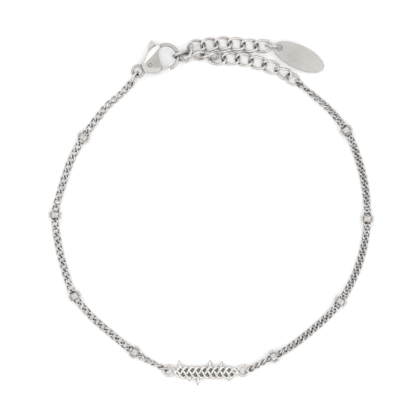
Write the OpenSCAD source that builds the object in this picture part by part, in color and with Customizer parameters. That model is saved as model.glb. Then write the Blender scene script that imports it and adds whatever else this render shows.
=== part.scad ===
// A fine chain bracelet, closed and lying on a flat surface: two runs of curb chain with eight
// rondelle beads, a cast openwork bar in front, and a lobster clasp that holds one link of an
// extender with an oval tag. X runs to the right, Y away from the bar, Z up. Lengths are in mm.

/* [Curb chain] */
// Wire of the fine links
curb_wire = 0.28; // [0.24:0.02:0.28]
// Length of a fine link over its wire
curb_length = 2.06; // [1.98:0.02:2.16]
// Width of a fine link over its wire
curb_width = 1.32; // [1.24:0.02:1.4]
// Play between two links of the left run, which lies pulled out
left_play = 0.17; // [0.12:0.01:0.2]
// Play between two links of the right run, which lies pushed together
right_play = 0.32; // [0.2:0.01:0.34]

/* [Beads] */
// Wall of a bead between its bore and its rim
bead_wall = 0.38; // [0.3:0.02:0.6]
// Thickness of a bead along the chain
bead_thickness = 1.15; // [0.9:0.05:1.4]
// Room round the chain in a bead's bore
bead_play = 0.13; // [0.1:0.01:0.2]
// Chain on each side of a bead that is lifted off the surface
bead_ramp = 5; // [4.5:0.1:6]

/* [Name bar] */
// Length of the openwork between the two rings
bar_length = 11.55; // [10:0.05:14]
// Thickness of the bar from face to face
bar_thickness = 1.2; // [1.1:0.05:1.6]
// Width of a strand of the plait
bar_stroke = 0.42; // [0.36:0.02:0.54]
// Number of half waves in a strand
bar_waves = 7; // [5:1:9]
// How far a strand swings from the bar's middle line
bar_swing = 0.94; // [0.8:0.02:1.1]
// How far the longest leaf tip reaches from the bar's middle line
leaf_reach = 2.45; // [1.8:0.05:3]
// Width of a leaf
leaf_width = 0.66; // [0.4:0.02:0.8]
// Hole of the ring at each end
bar_ring_hole = 1.38; // [1.3:0.02:1.6]
// Wire of the ring at each end
bar_ring_wire = 0.44; // [0.3:0.02:0.44]
// How far the rings sit behind the middle line
bar_ring_rise = 0.3; // [0:0.05:0.5]

/* [Clasp] */
// Thickness of the clasp's body at its crown
clasp_thickness = 2.4; // [2.2:0.1:3]
// Slope of the bevels round the body's flat facet, in degrees
bevel_slope = 23; // [15:1:27]
// Hole of the eye
eye_hole = 1.4; // [1.3:0.05:1.7]
// Width of the eye's ring
eye_width = 0.57; // [0.45:0.01:0.7]
// Thickness of the eye's ring
eye_height = 0.62; // [0.6:0.02:0.66]
// Distance from the eye's centre to the hook's centre, along the clasp
hook_reach = 5.57; // [5.2:0.01:6]
// Distance of the hook's centre from the clasp's axis
hook_side = 0.79; // [0.6:0.01:1]
// Inner diameter of the hook
hook_inner = 3.7; // [3.4:0.05:4]
// Width of the hook's bar
hook_width = 0.67; // [0.55:0.01:0.75]
// Thickness of the hook's bar
hook_height = 0.85; // [0.8:0.05:1.1]
// Thickness of the lever
lever_thickness = 0.8; // [0.6:0.05:0.9]
// Room above and below the lever, in its slot
slot_play = 0.1; // [0.06:0.01:0.15]
// Diameter of the lever's rivet
pin_diameter = 0.7; // [0.5:0.05:0.9]
// Radial clearance of the rivet in the body
pin_seat = 0.02; // [0.01:0.01:0.04]
// Radial clearance of the rivet in the lever
pin_play = 0.04; // [0.02:0.01:0.08]
// Width of the thumb tab
tab_width = 1.06; // [0.8:0.02:1.2]
// How far the thumb tab's tip stands from the rivet
tab_reach = 4.55; // [4.2:0.05:5]
// Angle that the lever opens, in degrees
lever_open = 20; // [15:1:22]

/* [Clasp link] */
// Wire of the link between the clasp and the left run
clasp_link_wire = 0.36; // [0.32:0.02:0.38]
// Length of that link over its wire
clasp_link_length = 3.02; // [2.94:0.02:3.1]
// Width of that link over its wire
clasp_link_width = 1.92; // [1.88:0.02:2]

/* [Extender] */
// Wire of the extender's links
link_wire = 0.43; // [0.36:0.01:0.45]
// Length of a link over its wire
link_length = 3.5; // [3.4:0.02:3.6]
// Width of a link over its wire
link_width = 2.5; // [2.4:0.02:2.6]
// Play between two links of the upper run, which ends at the tag
upper_play = 0.24; // [0.2:0.01:0.26]
// Play between two links of the lower run, which ends at the curb chain
lower_play = 0.19; // [0.17:0.01:0.22]
// Wire of the round rings at the extender's two ends
ring_wire = 0.4; // [0.32:0.02:0.42]
// Outer diameter of the ring at the curb chain
end_ring_diameter = 2.8; // [2.7:0.05:3]
// Outer diameter of the ring that carries the tag
tag_ring_diameter = 2.84; // [2.8:0.02:3]

/* [Tag] */
// Length of the oval tag
tag_length = 9.9; // [8:0.1:11]
// Width of the oval tag
tag_width = 4.2; // [3.6:0.1:5]
// Thickness of the oval tag
tag_thickness = 0.5; // [0.4:0.05:0.6]
// Hole in the tag
tag_hole = 1; // [0.9:0.05:1.1]
// Distance from the tag's end to the middle of its hole
tag_hole_inset = 1.05; // [1:0.01:1.1]

/* [Hidden] */

steel = [0.8, 0.79, 0.77];
satin = [0.74, 0.72, 0.7];
round_fn = 48;

// Clear room that every two loose pieces keep, and room under a link that leans
room = 0.1;
floor_room = 0.02;
// How far a twisted link's side rises, for each mm of wire and room that it crosses
twist_rise = -0.74;
// Sides of a link's wire, and steps round a fine and a large link
wire_sides = 5;
large_wire_sides = 6;
fine_steps = 10;
large_steps = 14;

// Centre of the loop's box, which the model is moved to
mid_x = 0.028;
mid_y = 0.318;

// The bar's middle, the clasp's eye and the turn of the clasp's axis
bar_at = [-0.9, -28.65];
eye_at = [-13.1, 25.47];
clasp_turn = 19.1;

// Where the runs of chain lie: x, y, lift off the surface, and roll about the run in degrees
LEFT_ROUTE = [
    [-14.37, 23.22, 0.2, -24], [-16.6, 21, 0.18, -45], [-18.6, 19.3, 0.09, -33], [-20.4, 17.1, 0, -24],
    [-23.1, 13.3, 0, -14], [-25.3, 9.2, 0, -15], [-26.8, 4.7, 0, -18], [-28, 0, 0, 0],
    [-27.6, -4.9, 0, 0], [-26.5, -9.6, 0, 0], [-24.8, -14.4, 0, 0], [-21.8, -18.3, 0, 0],
    [-18.1, -21.6, 0, 10], [-14.3, -24.6, 0.2, -27], [-11.5, -26.4, 0.01, -58], [-8.252, -28.075, -0.021, -82]
];
RIGHT_ROUTE = [
    [15.44, 23.56, 0.4, -147], [18.1, 21.4, 0.19, -54], [21.7, 18.2, 0, -34], [24.6, 14.3, 0, 0],
    [26.5, 9.7, 0, 0], [27.7, 4.9, 0, 0], [28.1, 0, 0, 0], [27.7, -4.9, 0, 0],
    [26.5, -9.6, 0, 0], [24.4, -14.1, 0, 0], [21.5, -18, 0, 0], [17.9, -21.3, 0, 0],
    [14, -24.3, -0.01, -22], [9.7, -26.6, 0.13, -62], [6.51, -28.39, -0.05, -55]
];
UPPER_ROUTE = [[-2.587, 29.978, 0.356, -7], [2.5, 30.5, 0, 0], [7.3, 30.05, 0, 0], [11, 30, 0.25, 0]];
LOWER_ROUTE = [[1.093, 27.774, 0.084, 7], [5.9, 27.6, 0, 0], [10.7, 26.25, 0, 10], [13, 24.9, 0, 10]];

// The clasp's few slanting links: x, y, z, heading, climb and roll
HELD_LINK = [-5.224, 28.134, 1.259, -0.7, -2.5, 45.4];
UPPER_FIRST = [-4.063, 28.929, 1.6, 54.7, -35.4, -71.3];
LOWER_FIRST = [-2.755, 28.218, 1.28, 2, 6.4, 67];
LOWER_SECOND = [-0.306, 28.197, 1.223, -1.7, -2, 79.9];
LOWER_LAST = [12.89, 25.19, 1.027, -26.2, -3.4, 43.5];

// Shares of each run's length at which its beads sit
LEFT_BEADS = [0.202, 0.435, 0.671, 0.902];
RIGHT_BEADS = [0.189, 0.44, 0.68, 0.918];

// Shapes of the chains, each as half length, half width, rise, wire radius, steps and wire sides
function twist(wire) = twist_rise * (wire + room);
FINE = [(curb_length - curb_wire) / 2, (curb_width - curb_wire) / 2, twist(curb_wire), curb_wire / 2,
        fine_steps, wire_sides];
LARGE = [(link_length - link_wire) / 2, (link_width - link_wire) / 2, twist(link_wire), link_wire / 2,
         large_steps, large_wire_sides];
PLAIN = [(clasp_link_length - clasp_link_wire) / 2, (clasp_link_width - clasp_link_wire) / 2, 0,
         clasp_link_wire / 2, large_steps, large_wire_sides];

left_pitch = curb_length - 2 * curb_wire - left_play;
right_pitch = curb_length - 2 * curb_wire - right_play;
upper_pitch = link_length - 2 * link_wire - upper_play;
lower_pitch = link_length - 2 * link_wire - lower_play;

function unit(v) = v / norm(v);
function xyz(v) = [v[0], v[1], v[2]];

// A smooth curve through the rows of a route, at u counted in rows
function blend(a, b, c, d, t) =
    b + ((c - a) * t + (2 * a - 5 * b + 4 * c - d) * t * t + (3 * b - a - 3 * c + d) * t * t * t) / 2;
function on_route(route, u) =
    let (last = len(route) - 1,
         i = min(floor(max(u, 0)), last - 1),
         t = u - i)
    blend(route[max(i - 1, 0)], route[i], route[i + 1], route[min(i + 2, last)], t);

// How high the middle of a rolled link lies when the link rests on the surface
function rest_height(shape, roll) =
    shape[3] + max([for (t = [0:15:345])
        shape[1] * sin(t) * sin(roll) + shape[2] * sin(2 * t) * cos(roll)]);

// Length along a route up to each of its samples, as pairs for lookup
route_samples = 12;
function running(steps, i = 0, sum = 0) =
    i == len(steps) ? [sum] : concat([sum], running(steps, i + 1, sum + steps[i]));
function by_length(points, spans) =
    let (sums = running([for (i = [1:len(points) - 1]) norm(points[i] - points[i - 1])]))
    [for (i = [0:len(points) - 1]) [sums[i], i / spans]];
function flat_table(route) =
    by_length([for (i = [0:(len(route) - 1) * route_samples])
        let (p = on_route(route, i / route_samples)) [p[0], p[1]]], route_samples);
function total(table) = table[len(table) - 1][0];

// How far the chain has risen to a bead's height at a distance from it, from 0 to 1
bead_bore = curb_width / 2 + bead_play;
bead_radius = bead_bore + bead_wall;
function ramp(distance) = abs(distance) < bead_ramp ? (1 + cos(180 * distance / bead_ramp)) / 2 : 0;
function risen(flat, beads, u) =
    let (s = lookup(u, [for (row = flat) [row[1], row[0]]]))
    max(concat([0], [for (share = beads) ramp(s - share * total(flat))]));

// A run of chain: its route, its shape, its beads' shares and its tables of length
function place(route, shape, flat, beads, u) =
    let (p = on_route(route, u),
         low = p[2] + rest_height(shape, p[3]) + floor_room)
    [p[0], p[1], low + (bead_radius - low) * risen(flat, beads, u), p[3]];
function full_table(route, shape, flat, beads) =
    by_length([for (i = [0:(len(route) - 1) * route_samples])
        xyz(place(route, shape, flat, beads, i / route_samples))], route_samples);

// A frame holds a link's middle and its three axes: along, across and up
slope_step = 0.02;
function frame(route, shape, flat, beads, u) =
    let (p = place(route, shape, flat, beads, u),
         a = place(route, shape, flat, beads, u - slope_step),
         b = place(route, shape, flat, beads, u + slope_step))
    axes(xyz(p), unit(xyz(b) - xyz(a)), p[3]);
function axes(middle, along, roll) =
    let (level = unit([-along[1], along[0], 0]),
         above = cross(along, level),
         across = level * cos(roll) + above * sin(roll))
    [middle, along, across, cross(along, across)];
function posed(row) =
    axes(xyz(row), [cos(row[3]) * cos(row[4]), sin(row[3]) * cos(row[4]), sin(row[4])], row[5]);

// Frames at an even pitch between the two ends of a route
function spaced(route, shape, beads, pitch, start, finish) =
    let (flat = flat_table(route),
         table = full_table(route, shape, flat, beads),
         span = total(table) - start - finish,
         count = round(span / pitch))
    [for (i = [0:count]) frame(route, shape, flat, beads, lookup(start + span * i / count, table))];
// Frames at a fixed pitch from a route's start
function stepped(route, shape, pitch, count) =
    let (flat = flat_table(route),
         table = full_table(route, shape, flat, []))
    [for (i = [0:count - 1]) frame(route, shape, flat, [], lookup(i * pitch, table))];

// One twisted link: rings of wire points round an oval whose sides rise and fall
function link_centre(shape, t) = [shape[0] * cos(t), shape[1] * sin(t), shape[2] * sin(2 * t)];
function link_ring(shape, t) =
    let (forward = unit([-shape[0] * sin(t), shape[1] * cos(t), 2 * shape[2] * cos(2 * t)]),
         outward = [shape[1] * cos(t), shape[0] * sin(t), 0],
         side = unit(outward - (outward * forward) * forward),
         up = cross(forward, side))
    [for (j = [0:shape[5] - 1], turn = 360 * j / shape[5])
        link_centre(shape, t) + shape[3] * (cos(turn) * side + sin(turn) * up)];
function link_points(shape, f) =
    [for (i = [0:shape[4] - 1], p = link_ring(shape, 360 * i / shape[4]))
        f[0] + p[0] * f[1] + p[1] * f[2] + p[2] * f[3]];
function link_faces(shape, first) =
    [for (i = [0:shape[4] - 1], j = [0:shape[5] - 1], half = [0, 1])
        let (here = first + i * shape[5],
             next = first + (i + 1) % shape[4] * shape[5],
             l = (j + 1) % shape[5])
        half == 0 ? [here + j, next + j, next + l] : [here + j, next + l, here + l]];
module links(shape, frames) {
    size = shape[4] * shape[5];
    polyhedron(
        points = [for (f = frames, p = link_points(shape, f)) p],
        faces = [for (n = [0:len(frames) - 1], face = link_faces(shape, n * size)) face],
        convexity = 10
    );
}

// Distance from the wire that a run's end link hooks to that link's middle
function hooked(shape, wire) = shape[0] - shape[3] - wire / 2 - room;

left_frames = spaced(LEFT_ROUTE, FINE, LEFT_BEADS, left_pitch,
                     hooked(FINE, clasp_link_wire), hooked(FINE, bar_ring_wire));
right_frames = spaced(RIGHT_ROUTE, FINE, RIGHT_BEADS, right_pitch,
                      hooked(FINE, ring_wire), hooked(FINE, bar_ring_wire));
upper_frames = stepped(UPPER_ROUTE, LARGE, upper_pitch, 6);
lower_frames = stepped(LOWER_ROUTE, LARGE, lower_pitch, 5);
extender_frames = concat(
    [posed(HELD_LINK), posed(UPPER_FIRST)], upper_frames,
    [posed(LOWER_FIRST), posed(LOWER_SECOND)], lower_frames, [posed(LOWER_LAST)]
);

module centred() {
    translate([-mid_x, -mid_y, 0]) children();
}

// A plain ring of round wire, lying flat about its middle
module wire_ring(radius, wire) {
    rotate_extrude($fn = round_fn) translate([radius, 0]) circle(d = wire, $fn = round_fn);
}

module chain_left() {
    color(steel) centred() links(FINE, left_frames);
}

module chain_right() {
    color(steel) centred() links(FINE, right_frames);
}

// A drilled rondelle with two rounded ridges, its bore along the chain
module bead(route, shares, number) {
    flat = flat_table(route);
    at = frame(route, FINE, flat, shares, lookup(shares[number - 1] * total(flat), flat));
    ridge = bead_thickness / 4;
    color(steel) centred()
        translate(at[0])
            rotate([0, 90 - asin(at[1][2]), atan2(at[1][1], at[1][0])])
                difference() {
                    rotate_extrude($fn = round_fn) {
                        for (side = [-1, 1])
                            translate([bead_radius - ridge, side * ridge])
                                circle(r = ridge, $fn = round_fn);
                        translate([0, -bead_thickness / 2])
                            square([bead_radius - ridge, bead_thickness]);
                    }
                    cylinder(r = bead_bore, h = 2 * bead_thickness, center = true, $fn = round_fn);
                }
}

// The bar's openwork: a plait of three waving strands that meet at its two ends, with leaves
half_wave = bar_length / bar_waves;
wave_steps = 12;
strand_turn = 120;
end_taper = 1.3;
// Each leaf: its place in half waves from the middle, up or down, reach as a share of the longest, lean
LEAVES = [
    [-2.75, 1, 0.94, 12], [-1.75, -1, 0.7, -8], [-0.8, -1, 1, -6],
    [0.35, 1, 0.98, -8], [1.55, 1, 0.88, -12], [2.4, -1, 0.68, 10]
];

// A strand's middle line, and its edge at half a stroke to one side
function strand(number, x) =
    let (inside = min(1, (bar_length / 2 - abs(x)) / end_taper))
    [x, bar_swing * sin(90 * inside) * sin(180 * x / half_wave + strand_turn * number)];
function strand_side(number, x, side) =
    let (step = slope_step * half_wave,
         along = unit(strand(number, x + step / 2) - strand(number, x - step / 2)))
    strand(number, x) + side * bar_stroke / 2 * [-along[1], along[0]];
module plait() {
    steps = wave_steps * bar_waves;
    for (number = [0:2])
        polygon(concat(
            [for (i = [0:steps]) strand_side(number, bar_length * (i / steps - 0.5), 1)],
            [for (i = [steps:-1:0]) strand_side(number, bar_length * (i / steps - 0.5), -1)]
        ));
}

module leaf(length, up) {
    radius = (length * length + leaf_width * leaf_width) / (4 * leaf_width);
    translate([0, up * length / 2]) intersection() {
        translate([radius - leaf_width / 2, 0]) circle(r = radius, $fn = 4 * round_fn);
        translate([leaf_width / 2 - radius, 0]) circle(r = radius, $fn = 4 * round_fn);
    }
}

module openwork() {
    plait();
    base = bar_swing - bar_stroke;
    for (row = LEAVES)
        if (abs(row[0]) < bar_waves / 2 - 0.5)
            translate([row[0] * half_wave, row[1] * base])
                rotate(row[3])
                    leaf(row[2] * leaf_reach - base, row[1]);
}

module name_bar() {
    ring_radius = (bar_ring_hole + bar_ring_wire) / 2;
    color(steel) centred() translate([bar_at[0], bar_at[1], 0]) {
        linear_extrude(bar_thickness) openwork();
        for (end = [-1, 1])
            translate([end * (bar_length / 2 + ring_radius), bar_ring_rise, bar_thickness / 2])
                wire_ring(ring_radius, bar_ring_wire);
    }
}

// The clasp in its own frame: X from the eye along the clasp, Y towards the thumb tab
clasp_middle = clasp_thickness / 2;
hook_radius = (hook_inner + hook_width) / 2;
hook_outer = hook_inner / 2 + hook_width;
hook_start = -90;
hook_sweep = 208;
// Where each bevel of the body starts, and the direction in which its lower side is to the left
BEVELS = [[1.54, 0.78, 27.9], [1.35, 0.22, 158.4], [1.75, 0.2, 90]];
// The body's edge, as shares of the hook's reach and of its outer radius
BODY_EDGE = [
    [0.18, 0.36], [0.287, 0.53], [0.373, 0.72], [0.49, 0.99], [0.62, 1.18], [0.76, 1.27], [0.9, 1.29],
    [0.93, 1.1], [0.84, 0.94], [0.785, 0.56], [0.763, 0.16], [0.756, -0.21], [0.7, -0.5],
    [0.592, -0.56], [0.452, -0.52], [0.309, -0.33], [0.18, -0.2]
];
edge_samples = 4;
function closed_curve(rows, samples) =
    let (n = len(rows))
    [for (i = [0:n - 1], j = [0:samples - 1])
        blend(rows[(i + n - 1) % n], rows[i], rows[(i + 1) % n], rows[(i + 2) % n], j / samples)];

// The rivet's place, the nose that the gate meets, and the directions of the lever's two arms
pin_at = [0.436 * hook_reach, 0.083 * hook_outer];
nose_at = [hook_reach, hook_side - hook_radius];
tab_angle = 68;
gate_low_angle = -50;
gate_high_angle = -20;
hub_radius = 0.75;
// Room between the gate and the nose, beside the lever in its slot, and past its open end in degrees
gate_play = 0.1;
slot_side = 0.14;
slot_turn = 6;
// The gate's edge: how far its corners stand back from the nose, and its rise over the nose's middle
gate_low_back = 1.65;
gate_high_back = 1.3;
gate_high_rise = 0.24;
gate_low_share = -0.1;
gate_high_share = 0.8;

module in_clasp() {
    color(steel) centred()
        translate([eye_at[0], eye_at[1], 0]) rotate(clasp_turn) children();
}

// A point at a distance along a direction from a place, and to its left
function polar(at, angle, along, side) =
    [at[0] + along * cos(angle) - side * sin(angle), at[1] + along * sin(angle) + side * cos(angle)];

// The section of the eye and of the hook: a bar with round faces above and below
module bar_section(width, height) {
    for (side = [-1, 1])
        translate([0, side * (height - width) / 2]) circle(d = width, $fn = round_fn);
    square([width, height - width], center = true);
}

// The space that the lever sweeps inside the body, from its rest to its open end
module slot() {
    wide = hub_radius + slot_side;
    far = 2 * hook_reach;
    tab_wide = tab_width / 2 + slot_side;
    gate_open = gate_high_angle + lever_open + slot_turn;
    linear_extrude(lever_thickness + 2 * slot_play, center = true) {
        translate(pin_at) circle(r = wide, $fn = round_fn);
        polygon([
            polar(pin_at, tab_angle, 0, -wide), polar(pin_at, tab_angle, far, -tab_wide),
            polar(pin_at, tab_angle + lever_open, far, tab_wide),
            polar(pin_at, tab_angle + lever_open, 0, wide)
        ]);
        polygon([
            polar(pin_at, gate_low_angle, 0, -wide), polar(pin_at, gate_low_angle, far, -wide),
            polar(pin_at, gate_open, far, wide), polar(pin_at, gate_open, 0, wide)
        ]);
    }
}
module rivet_bore(diameter) {
    translate([pin_at[0], pin_at[1], 0])
        cylinder(d = diameter, h = 2 * clasp_thickness, center = true, $fn = round_fn);
}

// What the bevels take off the body, above and below
module bevels() {
    far = 2 * hook_reach;
    for (row = BEVELS, under = [0, 1])
        mirror([0, 0, under])
            translate([row[0], row[1], clasp_middle]) rotate([0, 0, row[2]]) rotate([-bevel_slope, 0, 0])
                translate([-far, 0, 0])
                    cube([2 * far, far, far]);
}

// The hook's open ring, from its nose to its root inside the body
module hook() {
    translate([hook_reach, hook_side, 0]) rotate(hook_start)
        rotate_extrude(angle = hook_sweep, $fn = 2 * round_fn)
            translate([hook_radius, 0]) bar_section(hook_width, hook_height);
}

module clasp_body() {
    in_clasp() translate([0, 0, clasp_middle]) {
        difference() {
            union() {
                rotate_extrude($fn = round_fn)
                    translate([(eye_hole + eye_width) / 2, 0]) bar_section(eye_width, eye_height);
                difference() {
                    linear_extrude(clasp_thickness, center = true)
                        polygon([for (p = closed_curve(BODY_EDGE, edge_samples))
                            [p[0] * hook_reach, p[1] * hook_outer]]);
                    bevels();
                }
            }
            slot();
            rivet_bore(pin_diameter + 2 * pin_seat);
        }
        hook();
    }
}

// The lever's edge from the hub to the tab, and along the gate, whose end turns just inside the nose
gate_reach = norm([hook_reach, hook_side - hook_inner / 2] - pin_at) - gate_play;
module lever_shape() {
    tip = polar(pin_at, tab_angle, tab_reach - tab_width / 2, 0);
    gate_high = nose_at[1] + hook_width * gate_high_share;
    gate_low = nose_at[1] + hook_width * gate_low_share;
    translate(pin_at) circle(r = hub_radius, $fn = round_fn);
    translate(tip) circle(d = tab_width, $fn = round_fn);
    polygon([
        polar(tip, tab_angle, 0, tab_width / 2), polar(pin_at, tab_angle, 0, hub_radius),
        polar(pin_at, tab_angle, 0, -hub_radius), polar(tip, tab_angle, 0, -tab_width / 2)
    ]);
    intersection() {
        translate(pin_at) circle(r = gate_reach, $fn = 4 * round_fn);
        polygon([
            polar(pin_at, gate_low_angle, 0, -hub_radius), [nose_at[0] - gate_low_back, gate_low],
            [nose_at[0], gate_low], [nose_at[0], gate_high],
            [nose_at[0] - gate_high_back, gate_high + gate_high_rise],
            polar(pin_at, gate_high_angle, 0, hub_radius)
        ]);
    }
}

module clasp_lever() {
    in_clasp() translate([0, 0, clasp_middle]) difference() {
        linear_extrude(lever_thickness, center = true) lever_shape();
        rivet_bore(pin_diameter + 2 * pin_play);
    }
}

module clasp_pin() {
    in_clasp() translate([pin_at[0], pin_at[1], clasp_middle])
        cylinder(d = pin_diameter, h = clasp_thickness - 2 * room, center = true, $fn = round_fn);
}

// How the clasp's link lies: its heading, climb and roll, and how far its middle is from the eye's wire
clasp_link_heading = 241;
clasp_link_climb = -18;
clasp_link_roll = -70;
clasp_link_inset = 0.51;

module clasp_link() {
    reach = (eye_hole + eye_width) / 2 + clasp_link_inset;
    middle = [eye_at[0] + reach * cos(clasp_link_heading), eye_at[1] + reach * sin(clasp_link_heading),
              clasp_middle + clasp_link_inset * sin(clasp_link_climb)];
    color(steel) centred()
        links(PLAIN, [posed(concat(middle, [clasp_link_heading, clasp_link_climb, clasp_link_roll]))]);
}

module extender_link(number) {
    color(steel) centred() links(LARGE, [extender_frames[number - 1]]);
}

// Where the two round rings lie, and how they are turned
end_ring_at = [14.65, 24.025, 0.995];
end_ring_tilt = -38.4;
end_ring_heading = -30;

module end_ring() {
    color(steel) centred() translate(end_ring_at) rotate([end_ring_tilt, 0, end_ring_heading])
        wire_ring((end_ring_diameter - ring_wire) / 2, ring_wire);
}

// The middle of the tag's ring from the inside of the upper run's last link, along X, Y and Z
tag_ring_from_link = [0.38, -0.11, 0.61];
tag_ring_heading = -6.8;
upper_last = upper_frames[len(upper_frames) - 1];
tag_ring_at = upper_last[0] + (LARGE[0] - LARGE[3]) * upper_last[1] + tag_ring_from_link;

module tag_ring() {
    color(steel) centred() translate(tag_ring_at) rotate([90, 0, tag_ring_heading])
        wire_ring((tag_ring_diameter - ring_wire) / 2, ring_wire);
}

// The tag's hole from the middle of its ring, the way the tag points, how far its end sinks, and the
// steps round its oval
tag_hole_from_ring = [1.19, -0.22, -0.33];
tag_hole_at = tag_ring_at + tag_hole_from_ring;
tag_heading = -24.6;
tag_tilt = 5.4;
tag_steps = 60;

module tag() {
    color(satin) centred()
        translate(tag_hole_at) rotate([0, tag_tilt, tag_heading])
            difference() {
                translate([tag_length / 2 - tag_hole_inset, 0, 0])
                    linear_extrude(tag_thickness, center = true)
                        polygon([for (i = [0:tag_steps - 1])
                            let (t = 360 * i / tag_steps)
                            [tag_length / 2 * cos(t), tag_width / 2 * sin(t)]]);
                cylinder(d = tag_hole, h = 2 * tag_thickness, center = true, $fn = round_fn);
            }
}

chain_left();
chain_right();
name_bar();
clasp_body();
clasp_lever();
clasp_pin();
clasp_link();
end_ring();
tag_ring();
tag();
for (i = [1:4]) bead(LEFT_ROUTE, LEFT_BEADS, i);
for (i = [1:4]) bead(RIGHT_ROUTE, RIGHT_BEADS, i);
for (i = [1:16]) extender_link(i);
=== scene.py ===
# %% [markdown]
# A fine bracelet, closed and laid on a table
#
# The bracelet is stainless steel: two runs of twisted curb chain with eight small beads, a cast
# openwork bar in front, and a lobster clasp at the back that holds one link of a coarser extender
# with an oval tag. The construction comes as a fixed frame of named parts at their real size. This
# lesson gives each of them the rounded edges, the wire and the polish of the real thing.

import math

import bpy
import numpy as np
from mathutils import Matrix, Vector


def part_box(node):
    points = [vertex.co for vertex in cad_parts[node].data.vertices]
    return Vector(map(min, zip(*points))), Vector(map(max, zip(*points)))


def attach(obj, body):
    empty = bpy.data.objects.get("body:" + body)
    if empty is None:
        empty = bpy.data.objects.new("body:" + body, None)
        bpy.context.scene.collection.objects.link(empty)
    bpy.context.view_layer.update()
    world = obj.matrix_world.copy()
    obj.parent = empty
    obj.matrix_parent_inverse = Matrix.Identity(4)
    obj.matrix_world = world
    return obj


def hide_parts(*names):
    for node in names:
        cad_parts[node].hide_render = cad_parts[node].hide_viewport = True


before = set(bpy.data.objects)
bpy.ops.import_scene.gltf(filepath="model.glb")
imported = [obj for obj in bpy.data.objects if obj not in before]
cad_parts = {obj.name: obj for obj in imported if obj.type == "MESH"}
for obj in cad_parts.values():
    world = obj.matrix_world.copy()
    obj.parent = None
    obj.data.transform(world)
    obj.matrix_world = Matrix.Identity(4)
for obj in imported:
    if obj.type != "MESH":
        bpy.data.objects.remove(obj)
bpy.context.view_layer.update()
bpy.ops.object.select_all(action="DESELECT")
MM = 0.001
print("parts in the frame:", len(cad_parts))

# %% [markdown]
# The bench
#
# A jeweller works in millimetres, and so does this lesson: a metre is far too long a unit for a
# remesher's smallest cell or for an edge of a tenth of a millimetre. Every new piece is shaped on a
# bench where one unit is one millimetre, and it is brought down to metres when it is finished. The
# helpers below are the few motions that every piece needs: pick it up, open it for editing, take a
# clean copy of a part of the frame, and put the finished piece in its place. Working in metres all the
# way would save the last step, but the remesher makes no cells as small as the clasp needs.

# %% Helpers of the bench
MERGE = 0.0005
SMOOTH_BELOW = 50


def pick_up(piece):
    """Makes a piece the only selected one, so that an operator touches nothing else."""
    bpy.ops.object.select_all(action="DESELECT")
    piece.select_set(True)
    bpy.context.view_layer.objects.active = piece
    return piece


def open_all(piece):
    """Opens a piece for editing with all of it selected."""
    pick_up(piece)
    bpy.ops.object.mode_set(mode="EDIT")
    bpy.ops.mesh.select_all(action="SELECT")


def close():
    bpy.ops.object.mode_set(mode="OBJECT")


def clean(piece):
    """Merges points that lie on each other and turns all faces outwards."""
    open_all(piece)
    bpy.ops.mesh.remove_doubles(threshold=MERGE)
    bpy.ops.mesh.normals_make_consistent(inside=False)
    close()


def bench_copy(node):
    """A copy of a part of the frame on the bench, its loose triangles merged to one surface."""
    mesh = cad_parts[node].data.copy()
    mesh.materials.clear()
    mesh.transform(Matrix.Scale(1 / MM, 4))
    copy = bpy.data.objects.new(node + "_copy", mesh)
    bpy.context.scene.collection.objects.link(copy)
    pick_up(copy)
    bpy.ops.mesh.customdata_custom_splitnormals_clear()
    clean(copy)
    return copy


def apply_modifier(piece, kind, **settings):
    """Adds a modifier, sets it, and applies it to the mesh."""
    pick_up(piece)
    modifier = piece.modifiers.new(kind.lower(), kind)
    for key, value in settings.items():
        setattr(modifier, key, value)
    bpy.ops.object.modifier_apply(modifier=modifier.name)


def finish_piece(piece, name, material, nodes, body="bracelet"):
    """Brings a piece from the bench to metres, dresses it and lets it stand for its parts."""
    pick_up(piece)
    bpy.ops.object.transform_apply(location=True, rotation=True, scale=True)
    piece.data.transform(Matrix.Scale(MM, 4))
    piece.name = name
    piece.data.name = name
    piece.data.materials.clear()
    piece.data.materials.append(material)
    pick_up(piece)
    bpy.ops.object.shade_smooth_by_angle(angle=math.radians(SMOOTH_BELOW))
    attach(piece, body)
    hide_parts(*nodes)
    piece.data.calc_loop_triangles()
    print(name, "stands for", ", ".join(nodes), "with", len(piece.data.loop_triangles), "triangles")


print("a unit of the bench is", MM, "m")

# %% [markdown]
# The camera and the table
#
# The picture looks straight down on a pale table. A long lens from half a metre away keeps the ring
# of chain free of perspective, as a product photographer would; an orthographic camera would have
# none at all, which no real lens has. The table is a plain matt sheet, a little under pure white.

# %% Camera
PIXEL = 0.18
PHOTO = 416
FILM = 36
CAMERA_HEIGHT = 500
CAMERA_AT = (-0.568, 0.582)
NEAR = 50
FAR = 10000

camera_data = bpy.data.cameras.new("camera")
camera_data.sensor_width = FILM
camera_data.lens = FILM * CAMERA_HEIGHT / (PIXEL * PHOTO)
camera_data.clip_start = NEAR * MM
camera_data.clip_end = FAR * MM
camera = bpy.data.objects.new("camera", camera_data)
camera.location = (CAMERA_AT[0] * MM, CAMERA_AT[1] * MM, CAMERA_HEIGHT * MM)
bpy.context.scene.collection.objects.link(camera)
bpy.context.scene.camera = camera
print("lens:", round(camera_data.lens, 1), "mm")

# %% Table
TABLE_SIZE = 3000
# The wire is a little fuller than the construction's, so the table lies this much lower
TABLE_DROP = 0.06
TABLE_WHITE = (0.93, 0.93, 0.935, 1)
TABLE_ROUGHNESS = 0.7
TABLE_SHINE = 0.2

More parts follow.
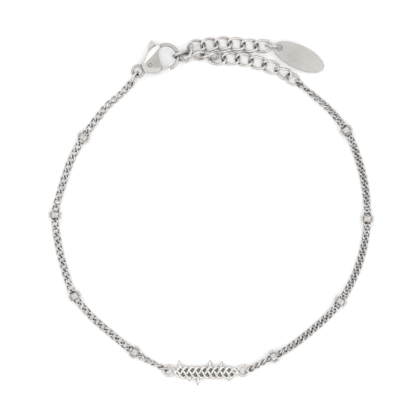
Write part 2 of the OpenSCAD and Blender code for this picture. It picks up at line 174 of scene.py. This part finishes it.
bpy.ops.mesh.primitive_plane_add(size=TABLE_SIZE * MM, location=(0, 0, -TABLE_DROP * MM))
table = bpy.context.object
table.name = "table"
table_finish = bpy.data.materials.new("table_white")
table_finish.use_nodes = True
table_shader = table_finish.node_tree.nodes["Principled BSDF"]
table_shader.inputs["Base Color"].default_value = TABLE_WHITE
table_shader.inputs["Roughness"].default_value = TABLE_ROUGHNESS
table_shader.inputs["Specular IOR Level"].default_value = TABLE_SHINE
table.data.materials.append(table_finish)
print("the table is", TABLE_SIZE, "mm wide")

# %% [markdown]
# The light
#
# Polished steel has no look of its own: it shows what stands around it. A photographer lays such a
# piece under a white tent. Flat tops then mirror the tent's pale roof, slopes mirror the brighter
# soft boxes beside it, and steep sides mirror the dark room round the tent, which draws the fine
# grey outlines. The room here grows from dark at the horizon to pale overhead, and two large boxes
# give the white bands. A third light washes the table from the camera's side, through a polariser
# that keeps it out of the steel, so that the table stays white between the links. A photographed
# room wrapped round the scene would shine as well, but nobody could move a lamp in it.

# %% Light
# Brightness of the room at heights from the horizon, 0, to straight up, 1
ROOM_TONES = [(0.0, 0.11), (0.24, 0.14), (0.46, 1.02), (0.74, 1.24), (0.92, 1.18), (0.965, 0.92),
              (1.0, 0.90)]
BRIGHTEST = 1.24
# Each box: its place and its size in millimetres, its power in watts, and whether steel mirrors it
BOXES = {
    "box_left": ((-420, 330, 520), 420, 0.3, True),
    "box_right": ((430, -300, 480), 300, 0.4, True),
    "table_fill": ((0, 0, 900), 200, 1.8, False),
}


def add_node(tree, kind, inputs=(), **settings):
    """A node with its settings, and with its inputs set or linked."""
    node = tree.nodes.new(kind)
    for key, value in settings.items():
        setattr(node, key, value)
    for key, value in dict(inputs).items():
        if isinstance(value, bpy.types.NodeSocket):
            tree.links.new(value, node.inputs[key])
        else:
            node.inputs[key].default_value = value
    return node


def ranged(tree, value, low, high, new_low, new_high):
    """A value carried from one range to another."""
    node = add_node(tree, "ShaderNodeMapRange", {
        "Value": value, "From Min": low, "From Max": high, "To Min": new_low, "To Max": new_high})
    return node.outputs["Result"]


world = bpy.data.worlds.new("room")
world.use_nodes = True
direction = add_node(world.node_tree, "ShaderNodeTexCoord").outputs["Generated"]
height = add_node(world.node_tree, "ShaderNodeSeparateXYZ", {"Vector": direction}).outputs["Z"]
tones = add_node(world.node_tree, "ShaderNodeValToRGB", {"Fac": height})
for number, (at, tone) in enumerate(ROOM_TONES):
    stop = tones.color_ramp.elements[number] if number < 2 else tones.color_ramp.elements.new(at)
    stop.position = at
    stop.color = (tone / BRIGHTEST,) * 3 + (1,)
room = world.node_tree.nodes["Background"]
room.inputs["Strength"].default_value = BRIGHTEST
world.node_tree.links.new(tones.outputs["Color"], room.inputs["Color"])
bpy.context.scene.world = world
bpy.context.scene.view_settings.view_transform = "Standard"

for name, (place, size, power, mirrored) in BOXES.items():
    data = bpy.data.lights.new(name, "AREA")
    data.shape = "SQUARE"
    data.size = size * MM
    data.energy = power
    box = bpy.data.objects.new(name, data)
    box.location = Vector(place) * MM
    box.visible_glossy = mirrored
    box.rotation_euler = (-box.location).to_track_quat("-Z", "Y").to_euler()
    bpy.context.scene.collection.objects.link(box)
print("soft boxes:", len(BOXES))

# %% [markdown]
# The finishes
#
# All of it is the same stainless steel, but the maker's tools leave different skins. Drawn wire
# carries fine lines, and each link took the tumbling drum a little differently. The clasp's cast
# body is polished on a wheel: smooth faces with a slight ripple. The bar is buffed to a paler shine,
# the lever is stamped from bright sheet, the beads are tumbled dull, and the tag is brushed
# lengthwise. One function sets up a metal whose colour, roughness and relief come from noise in the
# piece's own coordinates, and its settings tell the skins apart. Painted shade darkens the colour to
# a deep brown wherever little open sky reaches: in corners, where links meet and on sides low beside
# the table. Painted images would have to be unwrapped onto every link.

# %% A steel finish
# Polished stainless steel is a little warmer than grey
STEEL_TINT = (1, 0.961, 0.927)
# Dark brown colours of painted shade, from the deepest to the faintest, mixed in where little open sky
# reaches
DEEP_PAINTED_SHADE = (0.03, 0.024, 0.02, 1)
THIN_PAINTED_SHADE = (0.04, 0.032, 0.027, 1)
FAINT_PAINTED_SHADE = (0.10, 0.085, 0.075, 1)
# The shares of the cloudy noise between which bright metal turns to dull
CLOUD_RANGE = (0.35, 0.85)
# The shares of the fine noise between which the skin goes from smooth to rough
LINE_RANGE = (0.3, 0.7)
BUMP_STRENGTH = 0.6
SKY_SAMPLES = 8


def mix_colour(tree, share, low, high):
    node = add_node(tree, "ShaderNodeMix", data_type="RGBA")
    for index, value in ((0, share), (6, low), (7, high)):
        if isinstance(value, bpy.types.NodeSocket):
            tree.links.new(value, node.inputs[index])
        else:
            node.inputs[index].default_value = value
    return node.outputs[2]


def tinted(brightness):
    """The colour of steel at a brightness."""
    return tuple(brightness * share for share in STEEL_TINT) + (1,)


def steel(name, bright, dull, rough, cloud, line, relief, reach, shade_colour=DEEP_PAINTED_SHADE,
          shade_range=(0.35, 0.95), turn=0.0, stretch=(1, 1, 1)):
    """A steel skin with painted shade. Sizes are in millimetres: cloud and line of the two noises, relief
    of the lines, and reach, how far the painted shade looks for nearby surfaces. The shade colour is
    painted shade, laid where the share of open sky falls within the shade range, and stretch draws the
    fine lines out along an axis."""
    material = bpy.data.materials.new(name)
    material.use_nodes = True
    tree = material.node_tree
    shader = tree.nodes["Principled BSDF"]
    shader.inputs["Metallic"].default_value = 1.0
    place = add_node(tree, "ShaderNodeTexCoord").outputs["Object"]
    drawn = add_node(tree, "ShaderNodeMapping", {
        "Vector": place, "Rotation": (0, 0, turn), "Scale": stretch}).outputs["Vector"]
    clouds = add_node(tree, "ShaderNodeTexNoise", {
        "Vector": place, "Scale": 1 / (cloud * MM), "Detail": 3.0}).outputs["Fac"]
    lines = add_node(tree, "ShaderNodeTexNoise", {
        "Vector": drawn, "Scale": 1 / (line * MM), "Detail": 4.0}).outputs["Fac"]
    tone = add_node(tree, "ShaderNodeAttribute", attribute_name="tone").outputs["Fac"]
    mottled = add_node(tree, "ShaderNodeMath", {0: clouds, 1: tone}, operation="ADD").outputs[0]
    dullness = ranged(tree, mottled, *CLOUD_RANGE, 0, 1)
    metal = mix_colour(tree, dullness, tinted(bright), tinted(dull))
    # Painted shade: where nearby surfaces hide the sky, in corners, between links and on sides low beside
    # the table, the colour turns to the dark shade colour
    open_sky = add_node(tree, "ShaderNodeAmbientOcclusion", {"Distance": reach * MM},
                        samples=SKY_SAMPLES).outputs["AO"]
    unshaded = ranged(tree, open_sky, *shade_range, 0, 1)
    tree.links.new(mix_colour(tree, unshaded, shade_colour, metal), shader.inputs["Base Color"])
    tree.links.new(ranged(tree, lines, *LINE_RANGE, *rough), shader.inputs["Roughness"])
    bump = add_node(tree, "ShaderNodeBump", {
        "Height": lines, "Strength": BUMP_STRENGTH, "Distance": relief * MM})
    tree.links.new(bump.outputs["Normal"], shader.inputs["Normal"])
    return material


# %% Six skins
# Every skin gets painted shade where little open sky reaches; its dark colour and its range are set per
# skin
wire_steel = steel("drawn_wire_steel", bright=0.72, dull=0.58, rough=(0.24, 0.34), cloud=1.2,
                   line=0.4, relief=0.004, reach=0.6, shade_range=(0.3, 0.88))
cast_steel = steel("cast_steel", bright=0.62, dull=0.53, rough=(0.14, 0.24), cloud=1.6, line=0.5,
                   relief=0.004, reach=0.7)
buffed_steel = steel("buffed_steel", bright=0.80, dull=0.68, rough=(0.16, 0.26), cloud=1.6, line=0.5,
                     relief=0.004, reach=0.5, shade_range=(0.25, 0.85))
stamped_steel = steel("stamped_steel", bright=0.76, dull=0.66, rough=(0.16, 0.26), cloud=1.6, line=0.5,
                      relief=0.004, reach=0.5, shade_colour=THIN_PAINTED_SHADE, shade_range=(0.3, 0.9))
tumbled_steel = steel("tumbled_steel", bright=0.60, dull=0.50, rough=(0.26, 0.36), cloud=0.8, line=0.4,
                      relief=0.006, reach=0.8)
TAG_HEADING = 24.6
brushed_steel = steel("brushed_steel", bright=0.60, dull=0.52, rough=(0.26, 0.46), cloud=2.5, line=0.22,
                      relief=0.012, reach=0.6, shade_colour=FAINT_PAINTED_SHADE, turn=math.radians(TAG_HEADING),
                      stretch=(0.04, 1, 1))
print("finishes:", ", ".join(sorted(finish.name for finish in bpy.data.materials)))

# %% [markdown]
# Where the links lie
#
# The frame already holds every link of the chains as a loose, coarse ring at its true place. A
# smooth link needs only that place: its middle and its three axes. The spread of a link's own
# points gives them, because a link is longest along the chain, narrower across it and thinnest
# through it. Walking along a curve again would repeat the construction, and could miss it.

# %% Places of the links
def own_axes(part):
    """The place of a loose part: its middle, and its axes from the longest to the thinnest."""
    points = np.array([vertex.co for vertex in part.data.vertices])
    middle = points.mean(axis=0)
    axes = np.linalg.eigh((points - middle).T @ (points - middle))[1]
    along, across = axes[:, 2], axes[:, 1]
    up = np.cross(along, across)
    if up[2] < 0:
        across, up = -across, -up
    place = np.eye(4)
    place[:3, 0], place[:3, 1], place[:3, 2] = along, across, up
    local = (points - middle) @ place[:3, :3]
    place[:3, 3] = middle + place[:3, :3] @ (local.max(axis=0) + local.min(axis=0)) / 2
    return Matrix(place.tolist())


def places_in(node):
    """The place of every loose part of a node of the frame."""
    open_all(bench_copy(node))
    bpy.ops.mesh.separate(type="LOOSE")
    close()
    parts = list(bpy.context.selected_objects)
    found = [own_axes(part) for part in parts]
    for part in parts:
        bpy.data.objects.remove(part)
    return found


left_places = places_in("chain_left")
right_places = places_in("chain_right")
print("links on the left and right:", len(left_places), len(right_places))

# %% [markdown]
# One link of wire
#
# A curb link is a piece of round wire bent to an oval, closed, and twisted so that its long sides
# rise and fall and the links nest flat. A curve is the natural start: an oval of eight points whose
# points and handles are lifted to the shape of a saddle, with round wire run along it. A torus would
# need every ring of its wire tilted by hand. The finished chain is ground flat on both faces, which
# gives its smooth bright rims: two plane cuts do the same.

# %% Bend one link
# How far a link's side rises, for each millimetre of wire and room that it crosses
TWIST_RISE = -0.74
LINK_ROOM = 0.1
FINE_LINK = {"length": 2.06, "width": 1.32, "wire": 0.28}
LARGE_LINK = {"length": 3.5, "width": 2.5, "wire": 0.43}
CLASP_LINK = {"length": 3.02, "width": 1.92, "wire": 0.36}
# What polishing leaves on the wire, over the coarse wire of the construction
FULLNESS = 0.06
# How deep the finished chain is ground flat, above and below
GRIND = 0.06


def grind_faces(link, height):
    """Takes off what stands higher than a height above the link's middle, and lower than below it."""
    for side in (1, -1):
        open_all(link)
        bpy.ops.mesh.bisect(plane_co=(0, 0, side * height), plane_no=(0, 0, side), use_fill=True,
                            clear_outer=True)
        close()


def bend_link(length, width, wire, twisted, spans, bevel):
    """A closed link of round wire on the bench, long along X."""
    half_length, half_width = (length - wire) / 2, (width - wire) / 2
    rise = TWIST_RISE * (wire + LINK_ROOM) if twisted else 0
    bpy.ops.curve.primitive_bezier_circle_add(radius=1)
    link = bpy.context.object
    bpy.ops.object.mode_set(mode="EDIT")
    bpy.ops.curve.select_all(action="SELECT")
    bpy.ops.curve.subdivide(number_cuts=1)
    bpy.ops.object.mode_set(mode="OBJECT")
    for point in link.data.splines[0].bezier_points:
        point.handle_left_type = point.handle_right_type = "FREE"
    for point in link.data.splines[0].bezier_points:
        for end in (point.co, point.handle_left, point.handle_right):
            end.z = 2 * rise * end.x * end.y
            end.x, end.y = end.x * half_length, end.y * half_width
    link.data.resolution_u = spans
    link.data.bevel_depth = (wire + FULLNESS) / 2
    link.data.bevel_resolution = bevel
    link.data.use_fill_caps = False
    bpy.ops.object.convert(target="MESH")
    link = bpy.context.object
    clean(link)
    if twisted:
        grind_faces(link, abs(rise) + (wire + FULLNESS) / 2 - GRIND)
    return link


fine_link = bend_link(**FINE_LINK, twisted=True, spans=4, bevel=3)
print("a fine link has", len(fine_link.data.polygons), "faces")

# %% [markdown]
# The two runs of curb chain
#
# Each run is the same link again and again, turned as it lies. The copies get their own mesh and one
# number each, the tone, which the finish reads so that no two neighbours shine alike. Then they are
# joined, because a hundred loose objects would be a nuisance to keep. An array along a curve would
# space the links evenly, but would not lay each one as it rolls.

# %% String the chains
# Steps of the golden ratio never repeat a tone, and the tones lie this far round nought
GOLDEN = 0.618
TONE_SPREAD = 0.3


def strung(link, places, name):
    """Copies of a link at all the places, joined to one piece."""
    copies = []
    for number, place in enumerate(places):
        mesh = link.data.copy()
        mesh.transform(place)
        shade = ((number * GOLDEN) % 1 - 0.5) * TONE_SPREAD
        tone = mesh.attributes.new("tone", "FLOAT", "POINT")
        tone.data.foreach_set("value", [shade] * len(mesh.vertices))
        copies.append(bpy.data.objects.new(name, mesh))
        bpy.context.scene.collection.objects.link(copies[-1])
    pick_up(copies[0])
    for copy in copies:
        copy.select_set(True)
    if len(copies) > 1:
        bpy.ops.object.join()
    return bpy.context.object


finish_piece(strung(fine_link, left_places, "left"), "curb_links_left", wire_steel, ["chain_left"])
finish_piece(strung(fine_link, right_places, "right"), "curb_links_right", wire_steel, ["chain_right"])
bpy.data.objects.remove(fine_link)

# %% [markdown]
# The extender's larger links
#
# The extender is the same twisted pattern in thicker wire, sixteen links in two runs that meet at
# the clasp. Each stays a piece of its own, because the wearer chooses one when closing the clasp;
# joined like the fine chain, none could be picked out. The link between the clasp and the left run
# is a plain oval, bent but not twisted.

# %% Extender and clasp link
EXTENDER_COUNT = 16

large_link = bend_link(**LARGE_LINK, twisted=True, spans=6, bevel=4)
for number in range(1, EXTENDER_COUNT + 1):
    node = f"extender_link_{number}"
    link = strung(large_link, places_in(node), node)
    finish_piece(link, f"large_link_{number}", wire_steel, [node])
bpy.data.objects.remove(large_link)

plain_link = bend_link(**CLASP_LINK, twisted=False, spans=6, bevel=4)
finish_piece(strung(plain_link, places_in("clasp_link"), "plain"), "oval_link", wire_steel, ["clasp_link"])
bpy.data.objects.remove(plain_link)

# %% [markdown]
# The two jump rings
#
# A jump ring is wire wound on a rod and sawn apart, so it has a hairline joint where its ends meet.
# Spinning the wire's round section about the ring's axis gives just that: the spin stops short of a
# full turn, and the two ends are closed. A torus has no ends.

# %% Jump rings
RING_WIRE = 0.4
RING_DIAMETERS = {"end_ring": 2.8, "tag_ring": 2.84}
RING_STEPS = 48
RING_SIDES = 16
RING_JOINT = 0.05


def jump_ring(diameter, wire):
    """A wire ring on the bench, round Z, with a hairline joint."""
    radius = (diameter - wire) / 2
    bpy.ops.mesh.primitive_circle_add(vertices=RING_SIDES, radius=wire / 2, location=(radius, 0, 0),
                                      rotation=(math.pi / 2, 0, 0))
    ring = bpy.context.object
    bpy.ops.object.transform_apply(location=True, rotation=True, scale=True)
    open_all(ring)
    bpy.ops.mesh.spin(steps=RING_STEPS, angle=2 * math.pi - RING_JOINT / radius, center=(0, 0, 0),
                      axis=(0, 0, 1))
    bpy.ops.mesh.select_all(action="DESELECT")
    bpy.ops.mesh.select_mode(type="EDGE")
    bpy.ops.mesh.select_non_manifold()
    bpy.ops.mesh.edge_face_add()
    close()
    clean(ring)
    return ring


for node, diameter in RING_DIAMETERS.items():
    ring = jump_ring(diameter + FULLNESS, RING_WIRE + FULLNESS)
    ring.data.transform(places_in(node)[0])
    finish_piece(ring, "jump_" + node, wire_steel, [node])

# %% [markdown]
# The beads
#
# A rondelle bead is turned on a small lathe with two rounded ridges and a groove between them, and
# then drilled. A lathe's work is a profile carried round an axis, so the bead starts as one ring of
# points at the bore and is extruded and resized ring by ring along the profile, out over the two
# ridges and back to the bore. Two squashed tori and a cylinder would look alike, but would cut
# through one another.

# %% Turn one bead
BORE = 0.79
RIM = 1.17
BEAD_THICKNESS = 1.15
RIDGE = BEAD_THICKNESS / 4
GROOVE_SHARE = 0.45
# The lip round the bore: how far out each of its rings lies, and how high as a share of the half
BORE_LIP = ((0, 0.82), (0.04, 0.93), (0.09, 1))
RIDGE_STEPS = 7
BEAD_SIDES = 48


def bead_profile():
    """Radius and height of each ring, from the bore over both ridges and back."""
    rows = [(BORE + out, -2 * RIDGE * share) for out, share in BORE_LIP]
    for middle in (-RIDGE, RIDGE):
        first = -90 if middle < 0 else -GROOVE_SHARE * 90
        last = 90 if middle > 0 else GROOVE_SHARE * 90
        for step in range(RIDGE_STEPS):
            angle = math.radians(first + (last - first) * step / (RIDGE_STEPS - 1))
            rows.append((RIM - RIDGE + RIDGE * math.cos(angle), middle + RIDGE * math.sin(angle)))
    rows += [(radius, -height) for radius, height in rows[2::-1]]
    return rows


def turned(profile, sides):
    """A closed profile carried round Z."""
    radius, height = profile[0]
    bpy.ops.mesh.primitive_circle_add(vertices=sides, radius=radius, location=(0, 0, height))
    piece = bpy.context.object
    bpy.ops.object.transform_apply(location=True, rotation=True, scale=True)
    open_all(piece)
    for new_radius, new_height in profile[1:] + profile[:1]:
        bpy.ops.mesh.extrude_edges_move(TRANSFORM_OT_translate={"value": (0, 0, new_height - height)})
        scale = new_radius / radius
        bpy.ops.transform.resize(value=(scale, scale, 1), center_override=(0, 0, new_height))
        radius, height = new_radius, new_height
    close()
    clean(piece)
    return piece


bead = turned(bead_profile(), BEAD_SIDES)
for side in ("left", "right"):
    for number in range(1, 5):
        node = f"bead_{side}_{number}"
        copy = strung(bead, places_in(node), node)
        finish_piece(copy, f"rondelle_{side}_{number}", tumbled_steel, [node])
bpy.data.objects.remove(bead)

# %% [markdown]
# The cast pieces
#
# The bar and the clasp are cast and then polished on a wheel, which rounds every edge a little. A
# sharp form is softened in two moves: a remesh turns it into an even skin of small square faces, and
# smoothing pulls that skin in at its edges. Bevels would have to find their way round every crossing
# of the plait.

# %% Soften a cast form
BAR_CELL = 0.05
CLASP_CELL = 0.06
RIVET_CELL = 0.03


def soften(piece, cell, passes):
    """Gives a form an even skin and rounds its edges."""
    piece.data.remesh_voxel_size = cell
    piece.data.remesh_voxel_adaptivity = 0
    pick_up(piece)
    bpy.ops.object.voxel_remesh()
    apply_modifier(piece, "SMOOTH", factor=0.5, iterations=passes)


print("cells of the even skins:", BAR_CELL, CLASP_CELL, RIVET_CELL, "mm")

# %% [markdown]
# The bar in front
#
# The bar is a plait of three strands, cast in one with its leaf tips and end rings. On a real plait
# each strand swings from side to side and dips under its neighbour once between two swings, so it
# rises twice as often as it swings. The wax for the casting is built of such strands, so this one is
# too: bezier curves with a tall rounded section, the leaves short and tapered to a point. Then all of
# it is fused to one skin. A flat copy of the frame's bar would hide which strand runs on top.

# %% Lay the strands
BAR_MIDDLE = (-0.928, -28.968)
BAR_LENGTH = 11.55
BAR_HEIGHT = 1.2
BAR_WAVES = 7
BAR_SWING = 0.94
STRAND_WIDTH = 0.56
STRAND_HEIGHT = 0.86
STRAND_COUNT = 3
STRAND_SPANS = 3
STRAND_BEVEL = 4
POINTS_PER_WAVE = 4
END_TAPER = 1.3


def laid_strand(points, widths, width, height):
    """A strand on the bench along points, with a tall rounded section and a width share at each."""
    bpy.ops.curve.primitive_bezier_curve_add(radius=1)
    strand = bpy.context.object
    bpy.ops.object.mode_set(mode="EDIT")
    bpy.ops.curve.select_all(action="SELECT")
    bpy.ops.curve.subdivide(number_cuts=len(points) - 2)
    bpy.ops.object.mode_set(mode="OBJECT")
    for point, place, share in zip(strand.data.splines[0].bezier_points, points, widths):
        point.handle_left_type = point.handle_right_type = "AUTO"
        point.co = place
        point.radius = share
    strand.data.twist_mode = "Z_UP"
    strand.data.resolution_u = STRAND_SPANS
    strand.data.bevel_depth = width / 2
    strand.data.extrude = (height - width) / 2
    strand.data.bevel_resolution = STRAND_BEVEL
    strand.data.use_fill_caps = True
    bpy.ops.object.convert(target="MESH")
    strand = bpy.context.object
    clean(strand)
    return strand


def plait_points(number):
    """The middle line of one strand: it swings once and dips twice in every two half waves."""
    count = BAR_WAVES * POINTS_PER_WAVE
    dip = (BAR_HEIGHT - STRAND_HEIGHT) / 2
    points = []
    for step in range(count + 1):
        x = BAR_LENGTH * (step / count - 0.5)
        inside = min(1, (BAR_LENGTH / 2 - abs(x)) / END_TAPER)
        inside = math.sin(math.radians(90 * inside))
        phase = math.pi * x / (BAR_LENGTH / BAR_WAVES) + 2 * math.pi * number / STRAND_COUNT
        points.append((BAR_MIDDLE[0] + x, BAR_MIDDLE[1] + BAR_SWING * inside * math.sin(phase),
                       BAR_HEIGHT / 2 + dip * inside * math.sin(2 * phase)))
    return points


bar_parts = []
for number in range(STRAND_COUNT):
    points = plait_points(number)
    bar_parts.append(laid_strand(points, [1] * len(points), STRAND_WIDTH, STRAND_HEIGHT))
print("strands of the plait:", len(bar_parts))

# %% Set the leaves and fuse the bar
LEAF_REACH = 2.45
LEAF_WIDTH = 0.74
LEAF_ROOT = 0.52
LEAF_SHARES = (0.45, 0.85, 1, 0.92, 0.62, 0.12)
# Each leaf: its place in half waves from the middle, up or down, its reach as a share, its lean
LEAVES = [(-2.75, 1, 0.94, 12), (-1.75, -1, 0.7, -8), (-0.8, -1, 1, -6),
          (0.35, 1, 0.98, -8), (1.55, 1, 0.88, -12), (2.4, -1, 0.68, 10)]
BAR_RING_HOLE = 1.34
BAR_RING_WIRE = 0.48
BAR_RING_RISE = 0.3
BAR_PASSES = 4

for place, side, reach, lean in LEAVES:
    length = reach * LEAF_REACH - LEAF_ROOT
    out = (-math.sin(math.radians(lean)) * side, math.cos(math.radians(lean)) * side)
    root = (BAR_MIDDLE[0] + place * BAR_LENGTH / BAR_WAVES, BAR_MIDDLE[1] + side * LEAF_ROOT)
    points = []
    for step in range(len(LEAF_SHARES)):
        along = length * step / (len(LEAF_SHARES) - 1)
        points.append((root[0] + along * out[0], root[1] + along * out[1], BAR_HEIGHT / 2))
    bar_parts.append(laid_strand(points, LEAF_SHARES, LEAF_WIDTH, STRAND_HEIGHT))

ring_diameter = BAR_RING_HOLE + 2 * BAR_RING_WIRE
for end in (-1, 1):
    ring = bend_link(ring_diameter, ring_diameter, BAR_RING_WIRE, twisted=False, spans=8, bevel=4)
    ring_x = BAR_MIDDLE[0] + end * (BAR_LENGTH + BAR_RING_HOLE + BAR_RING_WIRE) / 2
    ring.data.transform(Matrix.Translation((ring_x, BAR_MIDDLE[1] + BAR_RING_RISE, BAR_HEIGHT / 2)))
    bar_parts.append(ring)

pick_up(bar_parts[0])
for part in bar_parts:
    part.select_set(True)
bpy.ops.object.join()
bar = bpy.context.object
soften(bar, BAR_CELL, BAR_PASSES)
finish_piece(bar, "openwork_bar", buffed_steel, ["name_bar"])

# %% [markdown]
# The clasp
#
# The body, the lever and the rivet are softened copies of the frame's forms. The body keeps most of
# its edges, because the wheel leaves its facet and bevels crisp. The lever is stamped and its tab is
# rounded for the thumb, so it gets more smoothing. Modelling them afresh would risk a hinge that no
# longer turns.

# %% Clasp
BODY_PASSES = 9
LEVER_PASSES = 24
RIVET_PASSES = 6

body = bench_copy("clasp_body")
soften(body, CLASP_CELL, BODY_PASSES)
finish_piece(body, "clasp_shell", cast_steel, ["clasp_body"])

lever = bench_copy("clasp_lever")
soften(lever, CLASP_CELL, LEVER_PASSES)
finish_piece(lever, "clasp_gate", stamped_steel, ["clasp_lever"], body="lever")

rivet = bench_copy("clasp_pin")
soften(rivet, RIVET_CELL, RIVET_PASSES)
finish_piece(rivet, "clasp_rivet", cast_steel, ["clasp_pin"])

# %% [markdown]
# The oval tag
#
# The tag is stamped from sheet: a flat oval with a hole and a burnished edge. Two rings of points,
# the oval and the hole, are bridged to a flat face, which gets its thickness and then its rounded
# edge. Cutting the hole with a boolean would leave long thin faces.

# %% Tag
TAG_LENGTH = 9.9
TAG_WIDTH = 4.2
TAG_THICKNESS = 0.5
TAG_HOLE = 1.0
TAG_INSET = 1.05
TAG_SIDES = 96
TAG_ROUNDING = 0.11
TAG_SHARP_ABOVE = 50

hole_x = TAG_INSET - TAG_LENGTH / 2
bpy.ops.mesh.primitive_circle_add(vertices=TAG_SIDES, radius=1)
tag = bpy.context.object
open_all(tag)
bpy.ops.transform.resize(value=(TAG_LENGTH / 2, TAG_WIDTH / 2, 1))
bpy.ops.mesh.select_all(action="DESELECT")
bpy.ops.mesh.primitive_circle_add(vertices=TAG_SIDES, radius=TAG_HOLE / 2, location=(hole_x, 0, 0))
bpy.ops.mesh.select_all(action="SELECT")
bpy.ops.mesh.bridge_edge_loops()
close()
apply_modifier(tag, "SOLIDIFY", thickness=TAG_THICKNESS, offset=0)
apply_modifier(tag, "BEVEL", width=TAG_ROUNDING, segments=3, limit_method="ANGLE",
               angle_limit=math.radians(TAG_SHARP_ABOVE))
clean(tag)
tag_place = places_in("tag")[0]
ring_middle = sum(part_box("tag_ring"), Vector()) / 2 / MM
if (tag_place.to_translation() - ring_middle).dot(tag_place.col[0].xyz) < 0:
    tag_place.col[0].xyz *= -1
    tag_place.col[1].xyz *= -1
tag.data.transform(tag_place)
finish_piece(tag, "oval_tag", brushed_steel, ["tag"])
